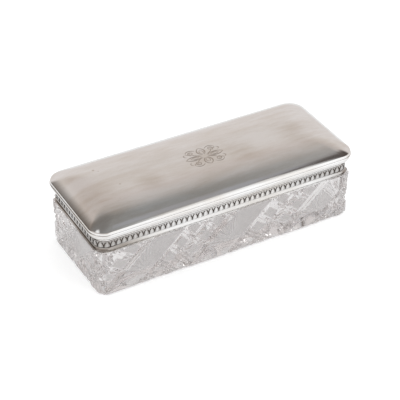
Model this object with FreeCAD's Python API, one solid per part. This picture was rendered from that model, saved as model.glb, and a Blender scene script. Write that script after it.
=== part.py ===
# Cut-glass box with silver mounts and a hinged, domed lid.
# Origin: middle of the base. X runs along the box, the front faces -Y, Z is up. Millimetres.
import FreeCAD
import Part
import math
import os

V = FreeCAD.Vector
UP = V(0, 0, 1)
ALONG = V(1, 0, 0)
SIDES = (V(1, 0, 0), V(0, 1, 0), V(-1, 0, 0), V(0, -1, 0))
QUARTER_TURN = 90.0
HALF_TURN = 180.0
FULL_TURN = 360.0

# Glass body
glass_length = 249.0
glass_width = 98.0
shoulder_height = 44.0
glass_wall = 9.0
glass_floor = 10.0
glass_corner_radius = 9.0
cavity_corner_radius = 4.0
cavity_floor_round = 3.0
base_round = 3.0
neck_height = 10.9
shoulder_step = 4.5

# Slanting bands of hobs, each between two mitre cuts: where these meet the shoulder, as shares of half a
# side seen from outside
cut_lean_degrees = 46.9
cut_depth = 2.9
cut_width = 5.4
front_band_shares = ((-1.06, -0.62), (-0.33, 0.02), (0.35, 0.76), (1.04, 1.39))
right_band_shares = ((-0.90, -0.01), (0.83, 1.72))
back_band_shares = ((-1.07, -0.71), (-0.38, -0.03), (0.31, 0.65), (1.00, 1.41))
left_band_shares = ((-0.99, 0.03), (0.85, 1.97))

# Hobs: rows of buttons along each band, parted by V grooves along it and across it
hob_rows = 2
hob_pitch = 16.2
hob_groove_depth = 2.5
hob_groove_width = 7.6
hob_band_width = 29.2
hob_phase = 4.0

# Plaster that beds the collar on the glass neck
plaster_thickness = 0.5

# Silver collar
sleeve_thickness = 0.7
seat_thickness = 0.8
seat_setback = 0.3
seat_lip = 1.4
bezel_setback = 1.3
bezel_thickness = 0.7
bezel_height = 3.2
foot_height = 3.6
foot_flange_thickness = 0.9
foot_setback = 0.9
cavetto_share = 0.3

# Stamped leaf frieze
frieze_backing = 0.5
leaf_relief = 0.9
leaf_pitch = 5.05
corner_leaves = 3

# Lid
lid_overhang = 4.4
lid_seam = 0.2
lid_sheet = 0.9
moulding_height = 4.9
rim_wire_height = 2.0
rim_wire_bulge = 0.7
dome_edge = 1.8
dome_roll = 1.5
dome_rise = 9.4
dome_fullness = 4.0
dome_section_shares = (0.0, 0.06, 0.14, 0.24, 0.36, 0.5, 0.66, 0.84)
bezel_clearance = 0.35

# Hinge
hinge_length = 84.0
knuckle_count = 7
knuckle_radius = 2.0
knuckle_gap = 0.2
knuckle_clearance = 0.3
hinge_setout = 2.2
gutter_thickness = 1.0
gutter_end_gap = 0.3
pin_radius = 0.9
pin_press = 0.02
pin_running = 0.05
pin_head_radius = 1.4
pin_head_thickness = 0.6
lid_opening_degrees = 105.0
lid_stop_degrees = 50.0
stop_margin_degrees = 1.0

# How far a cutting shape passes what it cuts, and how much of a corner a round may take
overrun = 5.0
round_limit_share = 0.9

# The cavity wall is the path that every ring follows; an outset is measured outwards from it
path_half_length = glass_length / 2 - glass_wall
path_half_width = glass_width / 2 - glass_wall
neck_outset = glass_wall - shoulder_step
plaster_outset = neck_outset + plaster_thickness
sleeve_outset = plaster_outset + sleeve_thickness
backing_outset = sleeve_outset + frieze_backing
crest_outset = backing_outset + leaf_relief
foot_outset = glass_wall - foot_setback
bezel_inner_outset = seat_setback + bezel_setback
bezel_outer_outset = bezel_inner_outset + bezel_thickness
lid_inner_outset = bezel_outer_outset + bezel_clearance
rim_outset = crest_outset + lid_overhang
dome_outset = rim_outset - rim_wire_bulge

# Levels from the table up
neck_top = shoulder_height + neck_height
flange_top = shoulder_height + foot_flange_thickness
frieze_bottom = shoulder_height + foot_height
seat_bottom = neck_top + plaster_thickness
seat_top = seat_bottom + seat_thickness
frieze_top = seat_bottom - seat_lip
lid_bottom = seat_top + lid_seam
wire_bottom = lid_bottom + moulding_height
wire_top = wire_bottom + rim_wire_height
dome_spring = wire_top + dome_edge

# Hinge line, behind the frieze and level with the seam
hinge_y = path_half_width + crest_outset + hinge_setout
hinge_z = seat_top + lid_seam / 2
running_radius = knuckle_radius + knuckle_clearance
gutter_radius = running_radius + gutter_thickness
gutter_length = hinge_length + 2 * (pin_head_thickness + gutter_end_gap)
knuckle_pitch = hinge_length / knuckle_count


def half_sizes(turn, half_length, half_width):
    """Half the box across and along the side that faces SIDES[turn]."""
    return (half_length, half_width) if turn % 2 == 0 else (half_width, half_length)


def outline(outset, z, half_length, half_width, radius):
    """Rounded rectangle, level at height z, outset from a rounded rectangle of the sizes given."""
    edges = []
    for turn in range(4):
        across, along = half_sizes(turn, half_length, half_width)
        out = SIDES[turn]
        on = SIDES[(turn + 1) % 4]
        corner = out * (across - radius) + on * (along - radius) + UP * z
        reach = radius + outset
        side_start = out * (across + outset) - on * (along - radius) + UP * z
        side_end = corner + out * reach
        corner_middle = corner + (out + on) * (reach / math.sqrt(2))
        corner_end = corner + on * reach
        edges.append(Part.LineSegment(side_start, side_end).toShape())
        edges.append(Part.Arc(side_end, corner_middle, corner_end).toShape())
    return Part.Wire(edges)


def block(outset, bottom, top):
    """Upright solid whose plan is the path outset by a length."""
    plan = outline(outset, bottom, path_half_length, path_half_width, cavity_corner_radius)
    return Part.Face(plan).extrude(UP * (top - bottom))


def profile(start, *steps):
    """Closed section through (outset, height) points; a step of two points is an arc through the first."""
    edges = []
    here = V(start[0], 0, start[1])
    for step in steps + ((start,),):
        points = [V(outset, 0, height) for outset, height in step]
        if len(points) == 1:
            edges.append(Part.LineSegment(here, points[0]).toShape())
        else:
            edges.append(Part.Arc(here, points[0], points[1]).toShape())
        here = points[-1]
    return Part.Wire(edges)


def bar(inner, outer, bottom, top):
    """Rectangular section between two outsets and two heights."""
    return profile((inner, bottom), ((outer, bottom),), ((outer, top),), ((inner, top),))


def ring(section):
    """Carry a closed section round the path: four straight runs and four turned corners."""
    face = Part.Face(section)
    pieces = []
    for turn in range(4):
        across, along = half_sizes(turn, path_half_length, path_half_width)
        out = SIDES[turn]
        on = SIDES[(turn + 1) % 4]
        run = along - cavity_corner_radius
        turned = face.copy()
        turned.rotate(V(0, 0, 0), UP, QUARTER_TURN * turn)
        start = turned.translated(out * across - on * run)
        end = turned.translated(out * across + on * run)
        pieces.append(start.extrude(on * (2 * run)))
        pieces.append(end.revolve(out * (across - cavity_corner_radius) + on * run, UP, QUARTER_TURN))
    return pieces[0].multiFuse(pieces[1:]).removeSplitter()


def v_groove(turn, start, run, depth, width):
    """V groove in one side, from a point in the plane of that side and along a run in that plane."""
    out = SIDES[turn]
    reach = half_sizes(turn, glass_length / 2, glass_width / 2)[0]
    aside = out.cross(run).normalize() * (width / 2 * (depth + overrun) / depth)
    root = start + out * (reach - depth)
    mouth = start + out * (reach + overrun)
    triangle = Part.makePolygon([root, mouth + aside, mouth - aside, root])
    return Part.Face(triangle).extrude(run)


def hob_band(turn, left_share, right_share):
    """Grooves of one band of hobs; going down it leans to the left of someone facing that side."""
    along = half_sizes(turn, glass_length / 2, glass_width / 2)[1]
    on = SIDES[(turn + 1) % 4]
    lean = math.tan(math.radians(cut_lean_degrees))
    left = along * left_share
    right = along * right_share

    def spot(border, height):
        return on * (border + (height - shoulder_height) * lean) + UP * height

    head = shoulder_height + 2 * overrun
    foot = -2 * overrun
    grooves = []
    for row in range(hob_rows + 1):
        border = left + (right - left) * row / hob_rows
        outer = row in (0, hob_rows)
        depth = cut_depth if outer else hob_groove_depth
        width = cut_width if outer else hob_groove_width
        start = spot(border, head)
        grooves.append(v_groove(turn, start, spot(border, foot) - start, depth, width))
    step = hob_pitch * math.cos(math.radians(cut_lean_degrees))
    drop = hob_band_width * math.sin(math.radians(cut_lean_degrees))
    height = shoulder_height / 2 + step * (hob_phase / hob_pitch + 0.5)
    height -= step * math.floor(height / step)
    while height < shoulder_height + drop:
        start = spot(left, height)
        run = spot(right, height - drop) - start
        grooves.append(v_groove(turn, start, run, hob_groove_depth, hob_groove_width))
        height += step
    return grooves


def make_glass_body():
    plan = outline(0, 0, glass_length / 2, glass_width / 2, glass_corner_radius)
    body = Part.Face(plan).extrude(UP * shoulder_height)
    foot_edges = [edge for edge in body.Edges if edge.BoundBox.ZMax < base_round / 2]
    body = body.makeFillet(base_round, foot_edges)
    neck = block(neck_outset, glass_floor, neck_top)
    cavity = block(0, glass_floor, neck_top + overrun)
    floor_round = min(cavity_floor_round, cavity_corner_radius * round_limit_share)
    floor_edges = [edge for edge in cavity.Edges if edge.BoundBox.ZMax < glass_floor + floor_round / 2]
    cavity = cavity.makeFillet(floor_round, floor_edges)
    cuts = []
    for turn, bands in enumerate((right_band_shares, back_band_shares, left_band_shares, front_band_shares)):
        for left_share, right_share in bands:
            cuts += hob_band(turn, left_share, right_share)
    return body.cut(cuts).fuse(neck).cut(cavity).removeSplitter()


def make_plaster_bed():
    return ring(profile(
        (neck_outset, shoulder_height),
        ((plaster_outset, shoulder_height),),
        ((plaster_outset, seat_bottom),),
        ((seat_setback, seat_bottom),),
        ((seat_setback, neck_top),),
        ((neck_outset, neck_top),),
    ))


def make_collar_foot():
    hollow_outset = backing_outset + (foot_outset - backing_outset) * cavetto_share
    hollow_height = flange_top + (frieze_bottom - flange_top) * cavetto_share
    return ring(profile(
        (plaster_outset, shoulder_height),
        ((foot_outset, shoulder_height),),
        ((foot_outset, flange_top),),
        ((hollow_outset, hollow_height), (backing_outset, frieze_bottom)),
        ((sleeve_outset, frieze_bottom),),
        ((sleeve_outset, flange_top),),
        ((plaster_outset, flange_top),),
    ))


def make_collar_sleeve():
    return ring(bar(plaster_outset, sleeve_outset, flange_top, seat_bottom))


def make_collar_seat_rim():
    """Flat rim with a lip turned down over the top of the frieze; the lip stops at the hinge."""
    rim = ring(profile(
        (seat_setback, seat_bottom),
        ((sleeve_outset, seat_bottom),),
        ((sleeve_outset, frieze_top),),
        ((backing_outset, frieze_top),),
        ((backing_outset, seat_top),),
        ((seat_setback, seat_top),),
    ))
    sleeve_y = path_half_width + sleeve_outset
    crest_y = path_half_width + crest_outset
    return rim.cut(hinge_slab(sleeve_y, crest_y, frieze_top, seat_bottom))


def make_collar_bezel():
    return ring(bar(bezel_inner_outset, bezel_outer_outset, seat_top, seat_top + bezel_height))


def leaf_strip(turn, run_start, run_end):
    """Straight length of frieze on one side: a row of rounded leaves on a flat backing."""
    across = half_sizes(turn, path_half_length, path_half_width)[0]
    out = SIDES[turn]
    on = SIDES[(turn + 1) % 4]

    def spot(along, outset):
        return out * (across + outset) + on * along + UP * frieze_bottom

    count = max(1, round((run_end - run_start) / leaf_pitch))
    pitch = (run_end - run_start) / count
    edges = []
    for leaf in range(count):
        left = run_start + leaf * pitch
        edges.append(Part.Arc(
            spot(left, backing_outset),
            spot(left + pitch / 2, crest_outset),
            spot(left + pitch, backing_outset),
        ).toShape())
    corners = [
        spot(run_end, backing_outset),
        spot(run_end, sleeve_outset),
        spot(run_start, sleeve_outset),
        spot(run_start, backing_outset),
    ]
    edges += Part.makePolygon(corners).Edges
    return Part.Face(Part.Wire(edges)).extrude(UP * (frieze_top - frieze_bottom))


def corner_leaf(turn):
    """Lobed quarter turn of frieze that wraps one corner."""
    across, along = half_sizes(turn, path_half_length, path_half_width)
    out = SIDES[turn]
    on = SIDES[(turn + 1) % 4]
    radius = cavity_corner_radius
    centre = out * (across - radius) + on * (along - radius) + UP * frieze_bottom

    def spot(degrees, outset):
        angle = math.radians(degrees)
        return centre + (out * math.cos(angle) + on * math.sin(angle)) * (radius + outset)

    step = QUARTER_TURN / corner_leaves
    edges = []
    for leaf in range(corner_leaves):
        edges.append(Part.Arc(
            spot(leaf * step, backing_outset),
            spot((leaf + 0.5) * step, crest_outset),
            spot((leaf + 1) * step, backing_outset),
        ).toShape())
    far_end = spot(QUARTER_TURN, sleeve_outset)
    near_end = spot(0, sleeve_outset)
    edges.append(Part.LineSegment(spot(QUARTER_TURN, backing_outset), far_end).toShape())
    edges.append(Part.Arc(far_end, spot(QUARTER_TURN / 2, sleeve_outset), near_end).toShape())
    edges.append(Part.LineSegment(near_end, spot(0, backing_outset)).toShape())
    return Part.Face(Part.Wire(edges)).extrude(UP * (frieze_top - frieze_bottom))


def make_frieze():
    """The leaf frieze, strip by strip; the back one is broken by the hinge."""
    long_run = path_half_length - cavity_corner_radius
    short_run = path_half_width - cavity_corner_radius
    hinge_half = gutter_length / 2
    return {
        "frieze_right": leaf_strip(0, -short_run, short_run),
        "frieze_back_right": leaf_strip(1, -long_run, -hinge_half),
        "frieze_back_left": leaf_strip(1, hinge_half, long_run),
        "frieze_left": leaf_strip(2, -short_run, short_run),
        "frieze_front": leaf_strip(3, -long_run, long_run),
        "frieze_corners": Part.makeCompound([corner_leaf(turn) for turn in range(4)]),
    }


def lid_section(share, sheet):
    """Level outline of the dome; a share of 0 is its edge and 1 its crown."""
    half_length = path_half_length + dome_outset - sheet
    half_width = path_half_width + dome_outset - sheet
    radius = (cavity_corner_radius + dome_outset - sheet) * (1 - share)
    inset = half_width * share
    z = dome_spring + (dome_rise - sheet) * (1 - (1 - share) ** dome_fullness)
    return outline(0, z, half_length - inset, half_width - inset, radius)


def make_lid_dome():
    """Cushion-shaped sheet: an upright edge that rolls over into the crown."""
    outside, inside = [
        block(dome_outset - sheet, wire_top, dome_spring).fuse(
            Part.makeLoft([lid_section(share, sheet) for share in dome_section_shares], True))
        for sheet in (0, lid_sheet)
    ]
    spring_edges = [edge for edge in outside.Edges
                    if edge.BoundBox.ZMin > dome_spring - dome_edge / 2
                    and edge.BoundBox.ZMax < dome_spring + dome_edge / 2]
    return outside.makeFillet(dome_roll, spring_edges).cut(inside)


def make_lid_rim_wire():
    inner = dome_outset - lid_sheet
    return ring(profile(
        (inner, wire_bottom),
        ((dome_outset, wire_bottom),),
        ((rim_outset, (wire_bottom + wire_top) / 2), (dome_outset, wire_top)),
        ((inner, wire_top),),
    ))


def make_lid_moulding():
    """Under-moulding: a quarter-round sheet that returns under the rim to a flat seating flange."""
    depth = dome_outset - crest_outset
    radius = (depth ** 2 + moulding_height ** 2) / (2 * depth)
    inner_radius = radius - lid_sheet
    centre = dome_outset - radius
    flange_height = lid_bottom + lid_sheet
    outer_sweep = math.asin(moulding_height / radius)
    inner_sweep = math.asin((wire_bottom - flange_height) / inner_radius)

    def spot(reach, sweep):
        return (centre + reach * math.cos(sweep), wire_bottom - reach * math.sin(sweep))

    moulding = ring(profile(
        spot(radius, 0),
        (spot(radius, outer_sweep / 2), (crest_outset, lid_bottom)),
        ((lid_inner_outset, lid_bottom),),
        ((lid_inner_outset, flange_height),),
        (spot(inner_radius, inner_sweep),),
        (spot(inner_radius, inner_sweep / 2), spot(inner_radius, 0)),
    ))
    return moulding.cut(hinge_rod(gutter_radius, -gutter_length / 2, gutter_length))


def hinge_rod(radius, start, length):
    """Cylinder on the hinge line."""
    return Part.makeCylinder(radius, length, V(start, hinge_y, hinge_z), ALONG)


def hinge_sector(first_degrees, last_degrees):
    """Part of the hinge gutter between two angles, counted from the back upwards, as a solid wedge."""
    centre = V(-gutter_length / 2, hinge_y, hinge_z)

    def spot(degrees):
        angle = math.radians(degrees)
        return centre + V(0, math.cos(angle), math.sin(angle)) * gutter_radius

    first = spot(first_degrees)
    middle = spot((first_degrees + last_degrees) / 2)
    last = spot(last_degrees)
    edges = [
        Part.LineSegment(centre, first).toShape(),
        Part.Arc(first, middle, last).toShape(),
        Part.LineSegment(last, centre).toShape(),
    ]
    return Part.Face(Part.Wire(edges)).extrude(ALONG * gutter_length)


def hollow_for_knuckles(leaf, own):
    """Cut a leaf to sit on its own knuckles and to run clear of the others and of the pin heads."""
    leaf = leaf.cut([
        hinge_rod(running_radius, -gutter_length / 2, (gutter_length - hinge_length) / 2),
        hinge_rod(running_radius, hinge_length / 2, (gutter_length - hinge_length) / 2),
    ])
    for index in range(knuckle_count):
        radius = knuckle_radius if index % 2 == own else running_radius
        leaf = leaf.cut(hinge_rod(radius, -hinge_length / 2 + index * knuckle_pitch, knuckle_pitch))
    return leaf


def hinge_slab(y_start, y_end, bottom, top):
    """Box as long as the hinge gutter."""
    corner = V(-gutter_length / 2, y_start, bottom)
    return Part.makeBox(gutter_length, y_end - y_start, top - bottom, corner)


def make_collar_hinge_leaf():
    """Plate on the back of the collar with a gutter under the knuckles."""
    sleeve_y = path_half_width + sleeve_outset
    crest_y = path_half_width + crest_outset
    plate = hinge_slab(sleeve_y, crest_y, frieze_bottom, seat_bottom)
    stop = FULL_TURN + lid_stop_degrees - lid_opening_degrees - stop_margin_degrees
    gutter = hinge_sector(HALF_TURN, stop)
    above = hinge_slab(sleeve_y, hinge_y, seat_bottom, hinge_z)
    return hollow_for_knuckles(plate.fuse(gutter).cut(above), 0).removeSplitter()


def make_lid_hinge_leaf():
    """Gutter over the knuckles, let into the back of the lid moulding."""
    gutter = hinge_sector(lid_stop_degrees, HALF_TURN)
    below = hinge_slab(hinge_y - gutter_radius, hinge_y, hinge_z, lid_bottom)
    return hollow_for_knuckles(gutter.cut(below), 1).removeSplitter()


def make_knuckle(index):
    start = -hinge_length / 2 + index * knuckle_pitch + knuckle_gap / 2
    length = knuckle_pitch - knuckle_gap
    bore = pin_radius + (pin_press if index % 2 == 0 else pin_running)
    return hinge_rod(knuckle_radius, start, length).cut(hinge_rod(bore, start, length))


def make_hinge_pin():
    head_start = hinge_length / 2 - knuckle_gap / 2
    shank = hinge_rod(pin_radius, -head_start, 2 * head_start)
    left_head = hinge_rod(pin_head_radius, -head_start - pin_head_thickness, pin_head_thickness)
    right_head = hinge_rod(pin_head_radius, head_start, pin_head_thickness)
    return shank.fuse([left_head, right_head])


pieces = {
    "glass_body": make_glass_body(),
    "plaster_bed": make_plaster_bed(),
    "collar_foot": make_collar_foot(),
    "collar_sleeve": make_collar_sleeve(),
    "collar_seat_rim": make_collar_seat_rim(),
    "collar_bezel": make_collar_bezel(),
    "collar_hinge_leaf": make_collar_hinge_leaf(),
    "hinge_pin": make_hinge_pin(),
    "lid_dome": make_lid_dome(),
    "lid_rim_wire": make_lid_rim_wire(),
    "lid_moulding": make_lid_moulding(),
    "lid_hinge_leaf": make_lid_hinge_leaf(),
}
pieces.update(make_frieze())
for index in range(knuckle_count):
    owner = "collar" if index % 2 == 0 else "lid"
    pieces[f"{owner}_knuckle_{index // 2 + 1}"] = make_knuckle(index)

os.makedirs("parts", exist_ok=True)
for name, shape in pieces.items():
    shape.exportStep(f"parts/{name}.step")
    print(f"{name}: solids {len(shape.Solids)}, valid {shape.isValid()}, {shape.Volume:.1f} mm3")
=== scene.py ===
# %% [markdown]
# # A cut-glass casket box with a silver collar and lid
#
# This lesson dresses a finished CAD model. The model comes in as a fixed frame, in metres, and every
# piece made here goes where the frame says. We set up the studio first, then take the box from the
# table up: the glass, the collar with its leaf strip, and last the lid.

# %% Load the frame
import math
import bmesh
import bpy
from mathutils import Matrix, Vector
from mathutils.kdtree import KDTree


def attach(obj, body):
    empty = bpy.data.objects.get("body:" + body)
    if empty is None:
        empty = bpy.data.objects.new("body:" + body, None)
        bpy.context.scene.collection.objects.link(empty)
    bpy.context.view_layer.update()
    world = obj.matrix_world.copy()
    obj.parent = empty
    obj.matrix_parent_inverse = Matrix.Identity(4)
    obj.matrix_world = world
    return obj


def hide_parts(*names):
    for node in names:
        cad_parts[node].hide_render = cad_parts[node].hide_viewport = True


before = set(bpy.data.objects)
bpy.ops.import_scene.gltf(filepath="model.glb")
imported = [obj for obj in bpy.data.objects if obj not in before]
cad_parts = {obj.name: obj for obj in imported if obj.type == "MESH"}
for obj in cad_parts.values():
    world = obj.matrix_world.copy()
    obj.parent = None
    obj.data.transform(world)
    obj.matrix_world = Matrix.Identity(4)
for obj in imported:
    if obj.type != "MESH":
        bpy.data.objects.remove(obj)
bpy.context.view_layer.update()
MM = 0.001

# %% [markdown]
# ## The camera
#
# The picture was taken from the front, a little to the left, looking down at about 35 degrees. The
# lens is long, so the far edge of the lid is hardly shorter than the near one. A camera could be
# placed by eye; here its place was worked out from the corners of the lid and the foot. Light crosses
# many facets before it leaves cut glass, so it may bounce more often than usual.

# %% Camera
AIM = Vector((0, 0, 35 * MM))
CAMERA_PLACE = Vector((-472.4, -852.6, 729.0)) * MM
SENSOR, LENS = 36, 122.83
SHIFT_X, SHIFT_Y = -0.00635, -0.01908
GLASS_BOUNCES = 40
camera = bpy.data.objects.new("camera", bpy.data.cameras.new("camera"))
bpy.context.scene.collection.objects.link(camera)
camera.location = CAMERA_PLACE
camera.rotation_euler = (AIM - CAMERA_PLACE).to_track_quat("-Z", "Y").to_euler()
camera.data.sensor_width = SENSOR
camera.data.lens = LENS
camera.data.shift_x = SHIFT_X
camera.data.shift_y = SHIFT_Y
camera.data.clip_end = 50
bpy.context.scene.camera = camera
bpy.context.scene.view_settings.view_transform = "Standard"
bpy.context.scene.cycles.max_bounces = GLASS_BOUNCES
bpy.context.scene.cycles.transmission_bounces = GLASS_BOUNCES
bpy.context.scene.cycles.glossy_bounces = GLASS_BOUNCES
print("camera distance:", round((AIM - CAMERA_PLACE).length, 3), "m")

# %% [markdown]
# ## Two small helpers for shaders
#
# Colours are written as they are read off a colour chart, in sRGB hex, and one function turns them to
# the linear light that Blender mixes. The other adds a node, with its settings and its links.

# %% Colour and node helpers
def ink(text):
    """Turns an sRGB hex colour into linear light."""
    parts = [int(text[i:i + 2], 16) / 255 for i in (1, 3, 5)]
    return [p / 12.92 if p <= 0.04045 else ((p + 0.055) / 1.055) ** 2.4 for p in parts] + [1.0]


def node(tree, kind, inputs=None, **settings):
    """Adds a node with its settings; an input is a value, or another node's output to link."""
    new = tree.nodes.new(kind)
    for name, value in settings.items():
        setattr(new, name, value)
    for name, value in (inputs or {}).items():
        if isinstance(value, bpy.types.NodeSocket):
            tree.links.new(value, new.inputs[name])
        else:
            new.inputs[name].default_value = value
    return new


print("white is", ink("#ffffff")[:3])

# %% [markdown]
# ## The studio: its walls
#
# Polished silver has no look of its own: it shows the room. The room here is a plain photo studio with
# pale walls that grow darker with height, up to a grey ceiling. A picture of a room could be wrapped
# round the box, but a ramp of a few tones over the rise of each direction is enough.

# %% The walls
WALL_COLOURS = ((0.00, "#dcd6d3"), (0.45, "#dcd6d3"), (0.57, "#d2cbc6"), (0.65, "#c9c0bb"),
                (0.77, "#bdb7b3"), (0.83, "#b3aeab"), (0.88, "#a09e9c"), (0.92, "#90908f"))
world = bpy.data.worlds.new("studio")
bpy.context.scene.world = world
world.use_nodes = True
sky = world.node_tree
sky.nodes.clear()
sky_ray = node(sky, "ShaderNodeLightPath")
sky_place = node(sky, "ShaderNodeTexCoord")
sky_axes = node(sky, "ShaderNodeSeparateXYZ", {0: sky_place.outputs["Generated"]})
walls = node(sky, "ShaderNodeValToRGB", {0: sky_axes.outputs["Z"]})
for step, (rise, colour) in enumerate(WALL_COLOURS):
    stop = walls.color_ramp.elements[step] if step < 2 else walls.color_ramp.elements.new(rise)
    stop.position = rise
    stop.color = ink(colour)
print("wall colours:", len(walls.color_ramp.elements))

# %% [markdown]
# ## The studio: what stands in it
#
# Soft round patches stand for a dark doorway, darker walls at the left, a dark corner with a glow above
# it, a softbox, a wide window a little brighter than white, and a small lamp. Each has a compass turn from
# the back, a height, and the angles at which it is still full and has faded out, all in degrees.

# %% The room's patches
ROOM_PATCHES = (("doorway", -48, 22, 8, 32, "#5a534d"), ("left wall", -42, 52, 4, 16, "#7f7872"),
                ("left ceiling", -35, 72, 4, 30, "#807e7c"),
                ("corner", 99, 49, 3, 14, "#5a534f"), ("corner foot", 86, 40, 3, 13, "#544d49"),
                ("corner head", 112, 56, 2, 8, "#57514e"), ("glow", 112, 65.5, 1.5, 7, "#a0a0a4"),
                ("softbox", 129, 57, 1.5, 7.5, "#ffffff"), ("window", 148, 25, 25, 36, "#ffffff"),
                ("lamp", -68, 68, 3, 9, "#ffffff"))
WINDOW_GLOW = 1.08
room_colour = walls.outputs["Color"]
for name, *angles, colour in ROOM_PATCHES:
    compass, height, full, fade = [math.radians(angle) for angle in angles]
    level = math.cos(height)
    towards = (math.sin(compass) * level, math.cos(compass) * level, math.sin(height))
    facing = node(sky, "ShaderNodeVectorMath", {0: sky_place.outputs["Generated"], 1: towards},
                  operation="DOT_PRODUCT", label=name)
    cover = node(sky, "ShaderNodeMapRange", {"Value": facing.outputs["Value"], "From Min": math.cos(fade),
                                             "From Max": math.cos(full)}, interpolation_type="SMOOTHSTEP")
    gain = WINDOW_GLOW if name == "window" else 1
    patch = node(sky, "ShaderNodeMix", {"Factor": cover.outputs["Result"], "A": room_colour,
                                        "B": [gain * part for part in ink(colour)]},
                 data_type="RGBA", clamp_result=False)
    room_colour = patch.outputs["Result"]
print("patches:", len(ROOM_PATCHES))

# %% [markdown]
# ## The studio: which ray sees what
#
# Light Path tells the kinds of ray apart. The camera sees plain white behind the box. Mirrored rays see the
# room, and rays that have passed through glass see it half evened out, as many facets would show it. All
# other light comes evenly from everywhere.

# %% Light from the world
THROUGH_COLOUR, THROUGH_SHARE = "#e4e3e4", 0.5
EVEN_LIGHT = 0.75
mirrored = node(sky, "ShaderNodeMath", {0: sky_ray.outputs["Is Glossy Ray"],
                                        1: sky_ray.outputs["Is Transmission Ray"]}, operation="MAXIMUM")
sky_share = node(sky, "ShaderNodeMath", {0: sky_ray.outputs["Is Transmission Ray"], 1: THROUGH_SHARE},
                 operation="MULTIPLY")
evened = node(sky, "ShaderNodeMix", {"Factor": sky_share.outputs[0], "A": room_colour,
                                     "B": ink(THROUGH_COLOUR)}, data_type="RGBA")
even = node(sky, "ShaderNodeBackground", {"Color": ink("#ffffff"), "Strength": EVEN_LIGHT})
room = node(sky, "ShaderNodeBackground", {"Color": evened.outputs["Result"], "Strength": 1.0})
white = node(sky, "ShaderNodeBackground", {"Color": ink("#ffffff"), "Strength": 1.0})
lit = node(sky, "ShaderNodeMixShader", {0: mirrored.outputs[0], 1: even.outputs[0], 2: room.outputs[0]})
seen = node(sky, "ShaderNodeMixShader", {0: sky_ray.outputs["Is Camera Ray"], 1: lit.outputs[0],
                                         2: white.outputs[0]})
node(sky, "ShaderNodeOutputWorld", {"Surface": seen.outputs[0]})
print("world nodes:", len(sky.nodes))

# %% [markdown]
# ## The table
#
# The box stands on a sweep of matt white paper, which keeps its shadow. More lamp light would bleach the
# box too, so the paper itself is lifted to white: for the camera, and for mirrored rays, most in front of
# the box. Seen through the glass it has an even tone, with a painted shadow a little greyer under the box.

# %% Table
TABLE_SIZE = 1.2
TABLE_GAP = 0.05 * MM
bpy.ops.object.select_all(action="DESELECT")
bpy.ops.mesh.primitive_plane_add(size=TABLE_SIZE, location=(0, 0, -TABLE_GAP))
table = bpy.context.object
table.name = "table"
print("table:", TABLE_SIZE, "m square")

# %% White paper
PAPER = "#e8e8e8"
CAMERA_FILL = 0.45
FRONT_Y, FRONT_FILL = -300 * MM, 0.32
BACK_Y, BACK_FILL = 100 * MM, 0.06
paper = bpy.data.materials.new("white_paper_sweep")
paper.use_nodes = True
sweep = paper.node_tree
sweep.nodes.clear()
paper_ray = node(sweep, "ShaderNodeLightPath")
paper_place = node(sweep, "ShaderNodeTexCoord")
paper_axes = node(sweep, "ShaderNodeSeparateXYZ", {0: paper_place.outputs["Object"]})
mirror_fill = node(sweep, "ShaderNodeMapRange", {
    "Value": paper_axes.outputs["Y"], "From Min": FRONT_Y, "From Max": BACK_Y,
    "To Min": FRONT_FILL, "To Max": BACK_FILL})
fill = 0.0
for kind, strength in (("Is Camera Ray", CAMERA_FILL), ("Is Glossy Ray", mirror_fill.outputs["Result"])):
    fill = node(sweep, "ShaderNodeMath", {0: paper_ray.outputs[kind], 1: strength, 2: fill},
                operation="MULTIPLY_ADD").outputs[0]
matt = node(sweep, "ShaderNodeBsdfDiffuse", {"Color": ink(PAPER)})
lift = node(sweep, "ShaderNodeEmission", {"Color": ink("#ffffff"), "Strength": fill})
lifted = node(sweep, "ShaderNodeAddShader", {0: matt.outputs[0], 1: lift.outputs[0]})
print("paper nodes so far:", len(sweep.nodes))

# %% The paper through the glass
# Under the box the tone seen through the glass is a painted shadow, greyer over the footprint and fading to
# the paper's white past its edge.
FOOTPRINT = (124.5 * MM, 49 * MM, 0)
PAINTED_SHADOW_UNDER_BOX = "#e2e0df"
UNDER_EDGE, CLEAR_EDGE = -12 * MM, 25 * MM
from_middle = node(sweep, "ShaderNodeVectorMath", {0: paper_place.outputs["Object"]}, operation="ABSOLUTE")
past = node(sweep, "ShaderNodeVectorMath", {0: from_middle.outputs[0], 1: FOOTPRINT}, operation="SUBTRACT")
past_axes = node(sweep, "ShaderNodeSeparateXYZ", {0: past.outputs[0]})
outside = node(sweep, "ShaderNodeMath", {0: past_axes.outputs["X"], 1: past_axes.outputs["Y"]},
               operation="MAXIMUM")
clear = node(sweep, "ShaderNodeMapRange", {"Value": outside.outputs[0], "From Min": UNDER_EDGE,
                                           "From Max": CLEAR_EDGE})
tone = node(sweep, "ShaderNodeMix", {"Factor": clear.outputs["Result"], "A": ink(PAINTED_SHADOW_UNDER_BOX),
                                     "B": ink(PAPER)}, data_type="RGBA")
through = node(sweep, "ShaderNodeEmission", {"Color": tone.outputs["Result"], "Strength": 1.0})
paper_share = node(sweep, "ShaderNodeMath", {0: paper_ray.outputs["Is Transmission Ray"], 1: THROUGH_SHARE},
                   operation="MULTIPLY")
shown = node(sweep, "ShaderNodeMixShader", {0: paper_share.outputs[0], 1: lifted.outputs[0],
                                            2: through.outputs[0]})
node(sweep, "ShaderNodeOutputMaterial", {"Surface": shown.outputs[0]})
table.data.materials.append(paper)
print("paper nodes:", len(sweep.nodes))

# %% [markdown]
# ## The lamps
#
# Two large square lamps, high at the front right and at the left, give the paper a faint soft shadow. The
# metal doesn't mirror them, because the room's patches already draw what it shows.

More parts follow.
